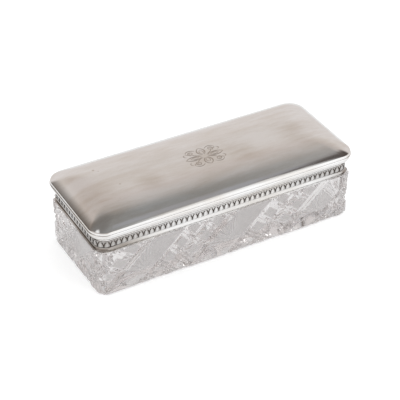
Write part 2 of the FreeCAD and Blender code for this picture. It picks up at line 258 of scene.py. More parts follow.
# %% Lamps
LAMPS = (("lamp_front_right", (0.9, -0.9, 1.5), 1.2, 9.0), ("lamp_left", (-1.3, 0.3, 1.4), 1.2, 5.0))
for name, stand, width, power in LAMPS:
    light = bpy.data.lights.new(name, "AREA")
    light.size = width
    light.energy = power
    lamp = bpy.data.objects.new(name, light)
    bpy.context.scene.collection.objects.link(lamp)
    lamp.location = stand
    lamp.visible_glossy = False
    lamp.rotation_euler = (AIM - Vector(stand)).to_track_quat("-Z", "Y").to_euler()
print("lamps:", len(LAMPS))

# %% [markdown]
# ## Selecting as by hand
#
# Blender's operators act on whatever is selected. In a window we would click; in a script we say which
# faces, edges or points we mean by where they lie. These helpers do that, open and close a piece for
# editing, and cut it.

# %% Selection helpers
def leave_edit():
    """Goes back to object mode, if a piece is open for editing."""
    if bpy.context.mode != "OBJECT":
        bpy.ops.object.mode_set(mode="OBJECT")


def only(piece):
    """Deselects everything, then selects one piece and makes it the active one."""
    leave_edit()
    bpy.ops.object.select_all(action="DESELECT")
    piece.select_set(True)
    bpy.context.view_layer.objects.active = piece


def edit(piece):
    """Opens one piece in edit mode with nothing selected."""
    only(piece)
    bpy.ops.object.mode_set(mode="EDIT")
    bpy.ops.mesh.select_mode(type="FACE")
    bpy.ops.mesh.select_all(action="DESELECT")


def every_point():
    """Selects all points of the piece that is open."""
    bpy.ops.mesh.select_mode(type="VERT")
    bpy.ops.mesh.select_all(action="SELECT")


def pick(piece, kind, test):
    """Selects the faces, edges or points for which the test on each one's middle is true."""
    bpy.ops.mesh.select_mode(type=kind)
    bpy.ops.mesh.select_all(action="DESELECT")
    mesh = bmesh.from_edit_mesh(piece.data)
    mesh.verts.index_update()
    count = 0
    for item in {"FACE": mesh.faces, "EDGE": mesh.edges, "VERT": mesh.verts}[kind]:
        if kind == "FACE":
            middle = item.calc_center_median()
        elif kind == "EDGE":
            middle = (item.verts[0].co + item.verts[1].co) / 2
        else:
            middle = item.co
        if test(middle, item):
            item.select_set(True)
            count += 1
    mesh.select_flush_mode()
    bmesh.update_edit_mesh(piece.data)
    return count


print("selection helpers ready")

# %% Modelling helpers
HAIR = 0.001 * MM


def start(name, size_x, size_y, middle=(0, 0, 0)):
    """Adds a flat sheet of a given size, with its place in its mesh, and opens it for editing."""
    leave_edit()
    bpy.ops.object.select_all(action="DESELECT")
    bpy.ops.mesh.primitive_plane_add(size=1)
    piece = bpy.context.object
    piece.name = name
    piece.scale = (size_x, size_y, 1)
    piece.location = middle
    bpy.ops.object.transform_apply(location=True, rotation=True, scale=True)
    edit(piece)
    return piece


def cut(where, normal, **clear_side):
    """Bisects what is selected with a plane."""
    direction = Vector(normal).normalized()
    bpy.ops.mesh.bisect(plane_co=where, plane_no=direction, threshold=HAIR, **clear_side)


def cut_all(where, normal, **clear_side):
    """Bisects the whole piece that is open with a plane."""
    bpy.ops.mesh.select_all(action="SELECT")
    cut(where, normal, **clear_side)


print("modelling helpers ready")

# %% [markdown]
# ## The glass: one hob
#
# The cutter's wheel left slanted bands of hobs: flat buttons, each fenced by four V grooves of its own,
# with a narrow ridge between two hobs and a small pyramid where four meet. We model one hob flat on the
# table. A square sheet is cut along each line where its surface will change direction, and the points are
# then lowered, level by level, to the depth of the grooves there.

# %% One hob
BAND_LEAN = 1.07
HOBS_ACROSS = 2
HOB_PITCH = 16.2 * MM
HOB_HALF = 4.3 * MM
GROOVE_HALF = 2.2 * MM
HOB_RECESS = 0.4 * MM
CUT_DEPTH = 2.9 * MM
TINY = 0.01 * MM
groove = HOB_HALF + GROOVE_HALF
hob_rise = CUT_DEPTH - HOB_RECESS


def groove_depth(m):
    """How far the grooves of both directions lower a point of the hob."""
    return max(max(0, hob_rise * (1 - abs(abs(c) - groove) / GROOVE_HALF)) for c in m.xy)


hob = start("hob", HOB_PITCH, HOB_PITCH)
for side in (-1, 1):
    for distance in (HOB_HALF, groove):
        for square in (Vector((1, 0, 0)), Vector((0, 1, 0))):
            cut_all(square * distance * side, square)
    diagonal = Vector((1, side, 0))
    pick(hob, "FACE", lambda m, f: max(abs(c) for c in m.xy) > HOB_HALF)
    cut((0, 0, 0), diagonal)
    for end in (-1, 1):
        cut_all(diagonal * groove * end, diagonal)
levels = sorted({round(groove_depth(v.co) / TINY) for v in bmesh.from_edit_mesh(hob.data).verts})
for level in levels:
    pick(hob, "VERT", lambda m, v: round(groove_depth(m) / TINY) == level)
    bpy.ops.transform.translate(value=(0, 0, -level * TINY))
leave_edit()
print("hob levels:", [round(level * TINY / MM, 2) for level in levels], "faces:", len(hob.data.polygons))

# %% [markdown]
# ## The glass: a band of hobs
#
# Two Array modifiers lay the hob out as a field that is larger than we need. The field is turned to the
# slant of the bands and trimmed with bisecting planes to one slanted band, as high as the wall is. Its long
# sides run along the bottom of the outer grooves. The glass stands a hair clear of its setting, because two
# faces in one place would render black.

# %% A band of hobs
SETTING_GAP = 0.1 * MM
SHOULDER = 44 * MM - SETTING_GAP
BASE_ROUND = 3 * MM
WALL_RUN = SHOULDER - BASE_ROUND
FIELD = (HOBS_ACROSS, 9)
wall_length = WALL_RUN + BASE_ROUND * math.pi / 2
lean_angle = math.atan(BAND_LEAN)
band_width = ((HOBS_ACROSS - 1) * HOB_PITCH + 2 * groove) / math.cos(lean_angle)
for axis, count in enumerate(FIELD):
    rows = hob.modifiers.new("rows", "ARRAY")
    rows.count = count
    rows.relative_offset_displace = (1 - axis, axis, 0)
    rows.use_merge_vertices = True
    rows.merge_threshold = TINY
    only(hob)
    bpy.ops.object.modifier_apply(modifier=rows.name)
edit(hob)
every_point()
bpy.ops.mesh.remove_doubles(threshold=TINY)
for x, side in ((-groove, -1), ((HOBS_ACROSS - 1) * HOB_PITCH + groove, 1)):
    cut_all((x, 0, 0), (side, 0, 0), clear_outer=True)
print("band %.1f mm wide, faces: %d" % (band_width / MM, len(bmesh.from_edit_mesh(hob.data).faces)))

# %% Trim the band
HOBS_BELOW = 4
HOB_PHASE = 4 * MM
NEAR = 0.02 * MM


def settle(piece, matrix):
    """Moves a piece's mesh, with its object left at the origin."""
    leave_edit()
    piece.data.transform(matrix)
    piece.data.update()


def offset_of(m):
    """How far a point lies from the left border of a slanted band, along the band's top edge."""
    return m.x - BAND_LEAN * m.y


slant = Matrix.Rotation(-lean_angle, 4, "Z")
anchor = Vector((-groove, HOBS_BELOW * HOB_PITCH - HOB_PHASE, HOB_RECESS))
settle(hob, slant @ Matrix.Translation(-anchor))
settle(hob, Matrix.Translation(Vector((BAND_LEAN, 1, 0)) * (-wall_length / 2)))
edit(hob)
for y, side in ((0, 1), (-wall_length, -1)):
    cut_all((0, y, 0), (0, side, 0), clear_outer=True)
border_heights = {}
for border in (0, band_width):
    pick(hob, "VERT", lambda m, v: abs(offset_of(m) - border) < NEAR)
    border_heights[border] = sorted(v.co.y for v in bmesh.from_edit_mesh(hob.data).verts if v.select)
leave_edit()
hob.name = "hob_band"
print("band faces:", len(hob.data.polygons), "border points:", [len(h) for h in border_heights.values()])

# %% [markdown]
# ## The glass: a plain band
#
# Between the hobs the wall is left smooth, with a fan of fine V cuts. A sheet is trimmed to the slant,
# then cut along the lines where its surface changes direction. The borders are lowered to meet the hob
# bands, with a narrow ridge beside the left one.

# %% A plain band
PLAIN_WIDTH = 42 * MM
LEFT_STEPS = ((0, CUT_DEPTH), (2.6 * MM, 0.3 * MM), (4.2 * MM, 1.4 * MM), (6.0 * MM, 0))
RIGHT_STEPS = ((0, CUT_DEPTH), (3.2 * MM, 0))
plain = start("plain_band", 3 * PLAIN_WIDTH + 2 * wall_length, wall_length, (0, -wall_length / 2, 0))
across = Vector((1, -BAND_LEAN, 0))
for x, side in ((0, -1), (PLAIN_WIDTH, 1)):
    cut_all((x, 0, 0), across * side, clear_outer=True)
creases = list(LEFT_STEPS) + [(PLAIN_WIDTH - x, depth) for x, depth in RIGHT_STEPS]
for x, depth in creases:
    if 0 < x < PLAIN_WIDTH:
        cut_all((x, 0, 0), across)
print("plain band faces:", len(bmesh.from_edit_mesh(plain.data).faces))

# %% [markdown]
# ## The glass: the fan of fine cuts
#
# Each cut of the fan is a long dart: two lines that part from a tip, with the middle of the open end
# lowered. A fine wheel leaves such cuts less polished than the wide ones, so their faces are marked for
# the finish, to be frosted.

# %% The lines of the fan
FAN_FOCUS = (34 * MM, -30 * MM)
FAN_GATE = 9 * MM
FAN_LEFT = 6 * MM
FAN_ENDS = tuple(-y * MM for y in (3, 7.5, 12, 16.5, 21, 25.5, 30, 34.5, 39))
FAN_HALF_WIDTH = 1.0 * MM
UP = Vector((0, 0, 1))
gate = FAN_FOCUS[0] - FAN_GATE


def slanted(offset, y):
    """The point of the plain band at this offset from its left border and at this height."""
    return Vector((offset + BAND_LEAN * y, y, 0))


def in_fan(m, f):
    """True for a face between the two ends of the fan."""
    return FAN_LEFT < offset_of(m) < gate


focus = slanted(*FAN_FOCUS)
cut_all(slanted(gate, 0), across)
tails = [slanted(FAN_LEFT, y) for y in FAN_ENDS]
for tail in tails:
    tip = focus + (tail - focus) * ((FAN_FOCUS[0] - gate) / (FAN_FOCUS[0] - FAN_LEFT))
    for shift in (-FAN_HALF_WIDTH, 0, FAN_HALF_WIDTH):
        line = tail + Vector((BAND_LEAN, 1, 0)) * shift - tip
        pick(plain, "FACE", in_fan)
        cut(tip, UP.cross(line).normalized())
print("fan cuts:", len(tails))

# %% Lower the fan and the borders
FAN_DEPTH = 0.6 * MM
SAME_SPOT = 0.05 * MM
FROSTED_BELOW = 0.97
fan_points = pick(plain, "VERT", lambda m, v: any((m - spot).length < SAME_SPOT for spot in tails))
bpy.ops.transform.translate(value=(0, 0, -FAN_DEPTH))
for x, depth in creases:
    if depth:
        pick(plain, "VERT", lambda m, v: abs(offset_of(m) - x) < TINY)
        bpy.ops.transform.translate(value=(0, 0, -depth))
for x, border in ((0, band_width), (PLAIN_WIDTH, 0)):
    for y in border_heights[border][1:-1]:
        pick(plain, "EDGE", lambda m, e: all(abs(offset_of(v.co) - x) < TINY for v in e.verts))
        cut((0, y, 0), (0, 1, 0))
leave_edit()
frost = plain.data.attributes.new("frost", "FLOAT", "FACE")
for face in plain.data.polygons:
    frost.data[face.index].value = in_fan(face.center, face) and face.normal.z < FROSTED_BELOW
print("fan tails:", fan_points, "frosted faces:", sum(f.value for f in frost.data), "of", len(frost.data))

# %% [markdown]
# ## The glass: wrapping the bands round the box
#
# Sixteen bands go round the box: eight of hobs, eight plain, each a little wider or narrower, as cut by
# hand. Each is copied flat at its place along the wall. Where it crosses a corner it gets upright cuts,
# so that it can bend. Then every point is carried from the flat strip to the wall, over the round corner,
# where the wheel bit deeper, and round the foot, where the cuts run out. No operator bends a sheet round a
# corner without a window, so that step is sums.

# %% From the flat strip to the wall
HALF_X, HALF_Y = 124.5 * MM, 49 * MM
CORNER = 9 * MM
CORNER_BITE = 0.7
FADE = (40 * MM, wall_length)
SIDES = ((HALF_X, HALF_Y, 0), (HALF_Y, HALF_X, 90), (HALF_X, HALF_Y, 180), (HALF_Y, HALF_X, 270))
girth = 4 * (HALF_X + HALF_Y)


def on_wall(along):
    """The point and outward direction this far round from the front's middle, and the corner's share."""
    along = (along + HALF_X) % girth
    for half, out, turn in SIDES:
        if along <= 2 * half:
            break
        along -= 2 * half
    x, y, facing = along - half, -out, 0
    beyond = max(0, abs(x) - (half - CORNER))
    if beyond > 0:
        facing = math.copysign(beyond / CORNER * math.pi / 4, x)
        x = math.copysign(half - CORNER, x) + CORNER * math.sin(facing)
        y = -out + CORNER - CORNER * math.cos(facing)
    spin = Matrix.Rotation(math.radians(turn), 3, "Z")
    outward = Vector((math.sin(facing), -math.cos(facing), 0))
    return spin @ Vector((x, y, 0)), spin @ outward, beyond / CORNER


def wrapped(flat):
    """Carries a point of the flat strip to the wall and the round of the foot."""
    spot, out, bend = on_wall(flat.x)
    down, depth = -flat.y, -flat.z * (1 + CORNER_BITE * bend)
    depth *= min(1, max(0, (FADE[1] - down) / (FADE[1] - FADE[0])))
    if down <= WALL_RUN:
        return spot - out * depth + UP * (SHOULDER - down)
    turn = (down - WALL_RUN) / BASE_ROUND
    spot = spot - out * BASE_ROUND + UP * BASE_ROUND
    return spot + (out * math.cos(turn) - UP * math.sin(turn)) * (BASE_ROUND - depth)


print("wall round the box: %.0f mm" % (girth / MM))

# %% Wrap the bands
CORNER_STEPS = 10
ROUND_STEPS = 5
BAND_STARTS = (-132, -77, -41, 2, 44, 95, 129.5, 173, 214, 258, 300, 343, 385, 428, 472, 522, 562)
corner_cuts = []
corner_at = -HALF_X
for half in (HALF_X, HALF_Y, HALF_X, HALF_Y):
    corner_cuts += [corner_at + CORNER * (2 * k / CORNER_STEPS - 1) for k in range(CORNER_STEPS + 1)]
    corner_at += 2 * half
corner_cuts += [x + girth for x in corner_cuts] + [x - girth for x in corner_cuts]
bands = []
for number, (begin, end) in enumerate(zip(BAND_STARTS, BAND_STARTS[1:])):
    model, width = ((hob, band_width), (plain, PLAIN_WIDTH))[number % 2]
    band = bpy.data.objects.new("band_%02d" % number, model.data.copy())
    bpy.context.scene.collection.objects.link(band)
    bands.append(band)
    stretch = (end - begin) * MM / width
    for v in band.data.vertices:
        v.co.x = offset_of(v.co) * stretch + begin * MM + BAND_LEAN * v.co.y
    spread = [v.co.x for v in band.data.vertices]
    edit(band)
    for x in corner_cuts:
        if min(spread) < x < max(spread):
            cut_all((x, 0, 0), (1, 0, 0))
    for k in range(ROUND_STEPS):
        cut_all((0, -WALL_RUN - BASE_ROUND * math.pi / 2 * k / ROUND_STEPS, 0), (0, 1, 0))
    leave_edit()
    for v in band.data.vertices:
        v.co = wrapped(v.co)
print("bands:", len(bands), "faces:", sum(len(band.data.polygons) for band in bands))

# %% [markdown]
# ## The glass: the well
#
# The inside is smooth: a neck that the collar grips, a level lip, straight walls and a floor with a small
# round. A sheet with rounded corners is extruded up for the neck, inset for the lip, and extruded down.
# Then the bands and the well are joined, and the shoulder and the underside are filled in.

# %% The well
NECK_HALF_X, NECK_HALF_Y, NECK_CORNER = 120 * MM - SETTING_GAP, 44.5 * MM - SETTING_GAP, 8.5 * MM
NECK_TOP = 54.9 * MM
NECK_STEPS = 12
LIP = 4.5 * MM
FLOOR = 10 * MM
FLOOR_ROUND, FLOOR_STEPS = 3 * MM, 6
glass = start("crystal_body", 2 * NECK_HALF_X, 2 * NECK_HALF_Y, (0, 0, SHOULDER))
every_point()
bpy.ops.mesh.bevel(offset=NECK_CORNER, affect="VERTICES", segments=NECK_STEPS)
pick(glass, "FACE", lambda m, f: True)
bpy.ops.mesh.extrude_region_move(TRANSFORM_OT_translate={"value": (0, 0, NECK_TOP - SHOULDER)})
bpy.ops.mesh.inset(thickness=LIP)
bpy.ops.mesh.extrude_region_move(TRANSFORM_OT_translate={"value": (0, 0, FLOOR - NECK_TOP)})
pick(glass, "EDGE", lambda m, e: all(abs(v.co.z - FLOOR) < TINY for v in e.verts))
bpy.ops.mesh.bevel(offset=FLOOR_ROUND, affect="EDGES", segments=FLOOR_STEPS)
pick(glass, "FACE", lambda m, f: abs(m.z - SHOULDER) < TINY)
bpy.ops.mesh.delete(type="ONLY_FACE")
leave_edit()
print("well faces:", len(glass.data.polygons))

# %% Join and close the glass
FACET_ANGLE = math.radians(9.5)
only(glass)
for band in bands:
    band.select_set(True)
bpy.ops.object.join()
for model in (hob, plain):
    bpy.data.objects.remove(model)
edit(glass)
every_point()
bpy.ops.mesh.remove_doubles(threshold=NEAR)
for level in (SHOULDER, 0):
    count = pick(glass, "EDGE", lambda m, e: e.is_boundary and abs(m.z - level) < NEAR)
    bpy.ops.mesh.fill(use_beauty=True)
    print("closed at %.0f mm with %d edges" % (level / MM, count))
bpy.ops.mesh.select_all(action="SELECT")
bpy.ops.mesh.normals_make_consistent(inside=False)
open_edges = pick(glass, "EDGE", lambda m, e: not e.is_manifold)
only(glass)
bpy.ops.object.shade_smooth_by_angle(angle=FACET_ANGLE)
print("glass faces:", len(glass.data.polygons), "open edges:", open_edges)

# %% [markdown]
# ## The glass: lead crystal
#
# Lead crystal is clear and heavy and bends light strongly, so every facet shows another piece of the
# room. Old cut glass isn't quite polished: a faint haze, in clouds as wide as a thumb's mark, makes its
# mirror uneven, and the fine cuts of the fan are frosted. In its depth the light turns a little grey and
# warm, which a volume that absorbs light gives.

# %% Lead crystal
HAZE_SIZE = 16.67 * MM
HAZE_FROM, HAZE_ROUGHNESS = (0.35, 0.7), 0.06
FROST = 0.45
DEPTH_COLOUR, DEPTH_DENSITY = "#ebe8e7", 8.0
CRYSTAL_LOOK = {"Base Color": ink("#fdfcfc"), "Transmission Weight": 1.0, "IOR": 1.53}
crystal = bpy.data.materials.new("cut_lead_crystal")
crystal.use_nodes = True
clarity = crystal.node_tree
crystal_shader = clarity.nodes["Principled BSDF"]
for socket, value in CRYSTAL_LOOK.items():
    crystal_shader.inputs[socket].default_value = value
glass_place = node(clarity, "ShaderNodeTexCoord")
breath = node(clarity, "ShaderNodeTexNoise", {"Vector": glass_place.outputs["Object"],
                                              "Scale": 1 / HAZE_SIZE, "Detail": 3.0})
bloom = node(clarity, "ShaderNodeMapRange", {
    "Value": breath.outputs["Fac"], "From Min": HAZE_FROM[0], "From Max": HAZE_FROM[1],
    "To Min": 0.0, "To Max": HAZE_ROUGHNESS})
frosted = node(clarity, "ShaderNodeAttribute", attribute_name="frost")
dimmed = node(clarity, "ShaderNodeMath", {0: frosted.outputs["Fac"], 1: FROST, 2: bloom.outputs["Result"]},
              operation="MULTIPLY_ADD")
clarity.links.new(dimmed.outputs[0], crystal_shader.inputs["Roughness"])
depths = node(clarity, "ShaderNodeVolumeAbsorption", {"Color": ink(DEPTH_COLOUR), "Density": DEPTH_DENSITY})
clarity.links.new(depths.outputs[0], clarity.nodes["Material Output"].inputs["Volume"])
print("crystal nodes:", len(clarity.nodes))

# %% Dress the glass
def dress(mesh, finish):
    """Gives a mesh one finish, in place of any that it had."""
    mesh.materials.clear()
    mesh.materials.append(finish)


dress(glass.data, crystal)
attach(glass, "base")
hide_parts("glass_body")
print("glass dressed in", crystal.name)

# %% [markdown]
# ## Silver
#
# Sterling silver, raised and polished, then wiped for a hundred years. It mirrors the room a little
# softly. To the eye, wiping gives it long faint smears of a warmer white and fine marks along its length,
# and neglect gives it brownish stains, mottled like the smears. Where a piece has a mark, such as an
# engraved line or the ground of the leaf strip, the silver there is dark.

# %% Stains
MOTTLED_FROM, MOTTLED_TO = (0.35, 0.65), (0.45, 1.0)


def with_dark_patches(tree, place, clouds, colour, dark_patches, dark_patch_colour):
    """Mixes mottled dark patches into a colour: real stains on the lid, painted shade and darkening on the
    foot; each is x, y, z and radius in mm, and a strength.
    """
    amount = 0.0
    for x, y, z, radius, strength in dark_patches:
        away = node(tree, "ShaderNodeVectorMath", {0: place, 1: (x * MM, y * MM, z * MM)},
                    operation="DISTANCE")
        dark_patch = node(tree, "ShaderNodeMapRange", {"Value": away.outputs["Value"], "From Min": radius * MM,
                                                  "From Max": 0.0, "To Max": strength},
                     interpolation_type="SMOOTHSTEP")
        amount = node(tree, "ShaderNodeMath", {0: dark_patch.outputs["Result"], 1: amount},
                      operation="MAXIMUM").outputs[0]
    mottle = node(tree, "ShaderNodeMapRange", {
        "Value": clouds, "From Min": MOTTLED_FROM[0], "From Max": MOTTLED_FROM[1],
        "To Min": MOTTLED_TO[0], "To Max": MOTTLED_TO[1]})
    share = node(tree, "ShaderNodeMath", {0: amount, 1: mottle.outputs["Result"]}, operation="MULTIPLY")
    return node(tree, "ShaderNodeMix", {"Factor": share.outputs[0], "A": colour, "B": ink(dark_patch_colour)},
                data_type="RGBA").outputs["Result"]


print("stains are mottled from", MOTTLED_TO[0], "to", MOTTLED_TO[1])

# %% Sterling silver
# The real wiping marks are hair-fine; they are drawn about a millimetre wide, so that they show.
SMEAR_LENGTH, SMEAR_WIDTH = 71.43 * MM, 16.67 * MM
SMEAR_TONES = ((0.4, "#f8f8f8"), (0.7, "#e9e4de"))
WIPE_LENGTH, WIPE_WIDTH = 33.33 * MM, 1.111 * MM
WIPE_FROM = (0.3, 0.7)


def sterling(name, mark=None, dark="#9c9083", polish=(0.05, 0.09), streaks=0,
             dark_patches=(), dark_patch_colour="#b9a893"):
    """Sterling silver, hand polished; where the mark's attribute is 1, it takes the dark colour."""
    made = bpy.data.materials.new(name)
    made.use_nodes = True
    tree = made.node_tree
    shader = tree.nodes["Principled BSDF"]
    shader.inputs["Metallic"].default_value = 1.0
    place = node(tree, "ShaderNodeTexCoord").outputs["Object"]
    smear = node(tree, "ShaderNodeMapping", {
        "Vector": place, "Scale": (1 / SMEAR_LENGTH, 1 / SMEAR_WIDTH, 1 / SMEAR_WIDTH)})
    clouds = node(tree, "ShaderNodeTexNoise", {"Vector": smear.outputs[0], "Scale": 1.0, "Detail": 6.0,
                                               "Roughness": 0.68}).outputs["Fac"]
    tint = node(tree, "ShaderNodeValToRGB", {0: clouds})
    for stop, (position, tone) in zip(tint.color_ramp.elements, SMEAR_TONES):
        stop.position = position
        stop.color = ink(tone)
    wipe = node(tree, "ShaderNodeMapping", {
        "Vector": place, "Scale": (1 / WIPE_LENGTH, 1 / WIPE_WIDTH, 1 / WIPE_WIDTH)})
    wiping = node(tree, "ShaderNodeTexNoise", {"Vector": wipe.outputs[0], "Scale": 1.0,
                                               "Detail": 2.0}).outputs["Fac"]
    haze = node(tree, "ShaderNodeMapRange", {
        "Value": wiping, "From Min": WIPE_FROM[0], "From Max": WIPE_FROM[1],
        "To Min": polish[0], "To Max": polish[1]})
    tree.links.new(haze.outputs["Result"], shader.inputs["Roughness"])
    colour = tint.outputs["Color"]
    if dark_patches:
        colour = with_dark_patches(tree, place, clouds, colour, dark_patches, dark_patch_colour)
    if streaks:
        ripple = node(tree, "ShaderNodeBump", {"Strength": 1.0, "Distance": streaks, "Height": wiping})
        tree.links.new(ripple.outputs[0], shader.inputs["Normal"])
    if mark:
        marked = node(tree, "ShaderNodeAttribute", attribute_name=mark)
        colour = node(tree, "ShaderNodeMix", {"Factor": marked.outputs["Fac"], "A": colour,
                                              "B": ink(dark)}, data_type="RGBA").outputs["Result"]
    tree.links.new(colour, shader.inputs["Base Color"])
    return made


silver = sterling("polished_sterling_silver")
SILVER_NODES = [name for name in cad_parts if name.startswith(("collar", "lid", "hinge"))]
for name in SILVER_NODES:
    dress(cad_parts[name].data, silver)
print("silver nodes:", len(SILVER_NODES))

# %% [markdown]
# ## The collar: its foot
#
# The foot is a plain moulding that rests on the glass. Its shape is the CAD model's own. The same silver
# is darkened a little all along it, and darker still towards the ends, as painted shade at the corners.

# %% The collar's foot
# Each patch is x, y, z and radius in mm, and a strength: a wide faint one darkens the whole foot, and four
# are painted shade towards the corners.
FOOT_DARKENING = ((0, 0, 46, 260, 0.3), (-118, -44, 46, 70, 1.0), (118, -44, 46, 55, 0.8),
               (-118, 44, 46, 50, 0.8), (118, 44, 46, 50, 0.8))
darkened_foot_silver = sterling("sterling_silver_with_painted_shade", dark_patches=FOOT_DARKENING, dark_patch_colour="#7d7268")
dress(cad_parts["collar_foot"].data, darkened_foot_silver)
print("foot's stains:", len(FOOT_DARKENING))

# %% [markdown]
# ## The collar: a leaf and a dart
#
# The leaf strip was rolled between dies: a row of pointed leaves, with a small dart hanging between each
# two tips, on a ground that has gone dark. Both start as a sheet whose top edge is extruded upwards and
# drawn in or out, row by row. The middle line is raised to a rib, and the border is extruded down to the
# ground, so that the leaf stands in real relief.

# %% Leaf and dart
SUNK = 0.05 * MM
LEAF_EDGE = 0.42 * MM
RIB_RISE = 0.44 * MM
LEAF_ROWS = ((0.5, 2.3), (1.2, 2.12), (2.4, 1.92), (3.6, 1.55), (4.8, 0.98), (6.1, 0.06))
DART_ROWS = ((3.6, 0.06), (4.8, 0.5), (6.0, 0.85))


def blade(name, rows_mm, rib):
    """Models a leaf or dart on the ground, through rows of (height, half width), with a raised rib."""
    rows = [(y * MM, half * MM) for y, half in rows_mm]
    low, high = rows[0][0], rows[-1][0]
    piece = start(name, 2 * rows[0][1], rows[1][0] - low, (0, (rows[1][0] + low) / 2, LEAF_EDGE))
    for row, (y, half) in enumerate(rows[1:]):
        before = rows[row]
        if row:
            pick(piece, "EDGE", lambda m, e: all(abs(v.co.y - before[0]) < SUNK for v in e.verts))
            bpy.ops.mesh.extrude_edges_move(TRANSFORM_OT_translate={"value": (0, y - before[0], 0)})
        else:
            pick(piece, "VERT", lambda m, v: abs(m.y - y) < SUNK)
        bpy.ops.transform.resize(value=(half / before[1], 1, 1), center_override=(0, 0, 0))
    every_point()
    cut((0, 0, 0), (1, 0, 0))
    pick(piece, "VERT", lambda m, v: abs(m.x) < HAIR and low + SUNK < m.y < high - SUNK)
    bpy.ops.transform.translate(value=(0, 0, rib))
    pick(piece, "EDGE", lambda m, e: e.is_boundary)
    bpy.ops.mesh.extrude_edges_move(TRANSFORM_OT_translate={"value": (0, 0, -LEAF_EDGE - SUNK)})
    bpy.ops.mesh.edge_face_add()
    bpy.ops.mesh.select_all(action="SELECT")
    bpy.ops.mesh.normals_make_consistent(inside=False)
    leave_edit()
    return piece


leaf = blade("leaf", LEAF_ROWS, RIB_RISE)
dart = blade("dart", DART_ROWS, RIB_RISE / 2)
print("leaf faces:", len(leaf.data.polygons), "dart faces:", len(dart.data.polygons))

# %% [markdown]
# ## The collar: laying out the strip
#
# A ground plate with a fillet along its foot and another along its top carries the leaves. The bars are
# extruded from sheets, the leaves and darts copied along them, and the whole joined. Each point is marked
# for the finish by how low it lies, where dirt stays, and by how near it is to the strip's end: near the end
# the foot gets painted shade, and the whole strip is darker towards its end.

# %% Bars and joining
def bar(name, length, middle, width, low, high, slices):
    """Extrudes a sheet to a bar along X, and slices it so that it can bend."""
    piece = start(name, length, width, (0, middle, low))
    bpy.ops.mesh.select_all(action="SELECT")
    bpy.ops.mesh.extrude_region_move(TRANSFORM_OT_translate={"value": (0, 0, high - low)})
    for k in range(1, slices):
        cut_all(((k / slices - 0.5) * length, 0, 0), (1, 0, 0))
    bpy.ops.mesh.select_all(action="SELECT")
    bpy.ops.mesh.normals_make_consistent(inside=False)
    leave_edit()
    return piece


def joined(pieces, name):
    """Joins pieces to one and names it."""
    only(pieces[0])
    for piece in pieces[1:]:
        piece.select_set(True)
    bpy.ops.object.join()
    pieces[0].name = name
    return pieces[0]


print("bars ready")

# %% Strip builder
STRIP_HEIGHT = 6.4 * MM
GROUND = 0.5 * MM
FILLET_WIDTH, FILLET_RISE = 0.8 * MM, 0.62 * MM
TOP_FILLET = 0.5 * MM
LEAF_PITCH = 223 / 44 * MM
# Near each end of a strip, points low along its foot get painted shade, and the whole strip is darker
# towards the end.
FOOT_SHADE_HEIGHT, FOOT_SHADE_REACH = 0.85 * MM, 22 * MM
CLEAN_RISE = 0.75 * MM
END_DARKENING, END_DARKENING_REACH = 0.4, 70 * MM


def leaf_strip(name, length, count, end_darts=0, slices=1):
    """Builds a flat strip with a number of leaves, darts between them, and darts at its ends if asked."""
    pieces = [bar(name, length, STRIP_HEIGHT / 2, STRIP_HEIGHT, -GROUND, 0, slices),
              bar("fillet", length, FILLET_WIDTH / 2, FILLET_WIDTH, 0, FILLET_RISE, slices),
              bar("top_fillet", length, STRIP_HEIGHT - TOP_FILLET / 2, TOP_FILLET, 0, FILLET_RISE, slices)]
    pitch = length / count
    squeeze = Matrix.Diagonal((pitch / LEAF_PITCH, 1, 1, 1))
    places = [(leaf, k + 0.5) for k in range(count)]
    places += [(dart, k) for k in range(1 - end_darts, count + end_darts)]
    for model, steps in places:
        copy = bpy.data.objects.new(model.name + "_copy", model.data.copy())
        bpy.context.scene.collection.objects.link(copy)
        settle(copy, Matrix.Translation((steps * pitch - length / 2, 0, 0)) @ squeeze)
        pieces.append(copy)
    made = joined(pieces, name)
    ground = made.data.attributes.new("ground", "FLOAT", "POINT")
    for v in made.data.vertices:
        oxide_and_shade = 1 - min(1, max(0, v.co.z / CLEAN_RISE))
        to_end = length / 2 - abs(v.co.x)
        # Low along the foot near the end: painted shade. Everywhere near the end: darker towards the end.
        if v.co.y < FOOT_SHADE_HEIGHT:
            oxide_and_shade = max(oxide_and_shade, 1 - to_end / FOOT_SHADE_REACH)
        darkening_to_end = END_DARKENING * max(0, 1 - to_end / END_DARKENING_REACH)
        ground.data[v.index].value = oxide_and_shade + (1 - oxide_and_shade) * darkening_to_end
    return made


print("a leaf every %.2f mm" % (LEAF_PITCH / MM))

# %% [markdown]
# ## The collar: setting the strips
#
# Five straight strips stand round the collar, because the hinge breaks the one at the back in two. Four
# short strips are bent round the corners. A Simple Deform modifier could bend them, but the sum for a round
# corner is short and exact.

# %% Straight strips
STRIP_FOOT = 47.6 * MM
GROUND_HALF = (121.7 * MM, 46.2 * MM)
STRAIGHT_HALF = (111.5 * MM, 36 * MM)
HINGE_HALF = 42.9 * MM
STAND_UP = Matrix(((1, 0, 0, 0), (0, 0, -1, 0), (0, 1, 0, STRIP_FOOT), (0, 0, 0, 1)))
back_length = STRAIGHT_HALF[0] - HINGE_HALF
back_middle = (STRAIGHT_HALF[0] + HINGE_HALF) / 2
STRIPS = (("leaf_strip_front", "frieze_front", 2 * STRAIGHT_HALF[0], 44, 0, 0, GROUND_HALF[1]),
          ("leaf_strip_right", "frieze_right", 2 * STRAIGHT_HALF[1], 14, 90, 0, GROUND_HALF[0]),
          ("leaf_strip_left", "frieze_left", 2 * STRAIGHT_HALF[1], 14, 270, 0, GROUND_HALF[0]),
          ("leaf_strip_back_left", "frieze_back_left", back_length, 14, 180, back_middle, GROUND_HALF[1]),
          ("leaf_strip_back_right", "frieze_back_right", back_length, 14, 180, -back_middle, GROUND_HALF[1]))
friezes = []
